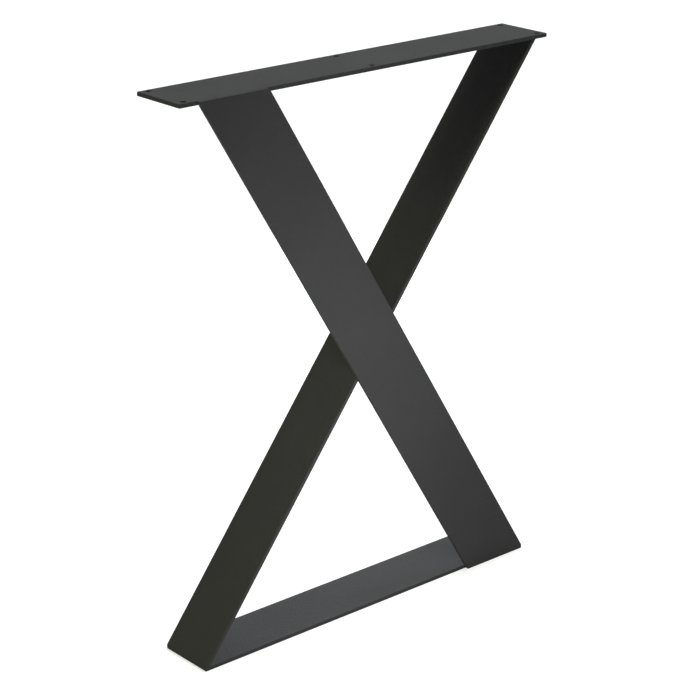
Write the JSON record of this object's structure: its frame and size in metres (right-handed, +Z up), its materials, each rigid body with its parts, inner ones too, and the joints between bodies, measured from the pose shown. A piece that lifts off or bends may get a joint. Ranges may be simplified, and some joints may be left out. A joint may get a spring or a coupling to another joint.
{
  "type": "x shaped table leg",
  "caption": "X-shaped flat steel table leg: a drilled top plate and a floor bar joined by a slanting strap and a crossing front bar, welded and powder coated.",
  "frame": {"origin": "on the floor, at the middle of the foot bar's underside, under the middle of the top plate", "axes": "+X along the top plate, +Y from the front bar to the back, +Z up to the table top"},
  "size_m": [0.58, 0.085, 0.71],
  "materials": {
    "powder_coat": "matt anthracite powder coat"
  },
  "bodies": {
    "root": {"top_plate": "powder_coat", "front_bar": "powder_coat", "rear_strap": "powder_coat", "foot_bar": "powder_coat", "weld_plate_bar": "powder_coat", "weld_plate_strap": "powder_coat", "weld_crossing": "powder_coat", "weld_foot_strap": "powder_coat", "weld_foot_bar": "powder_coat"}
  },
  "joints": []
}
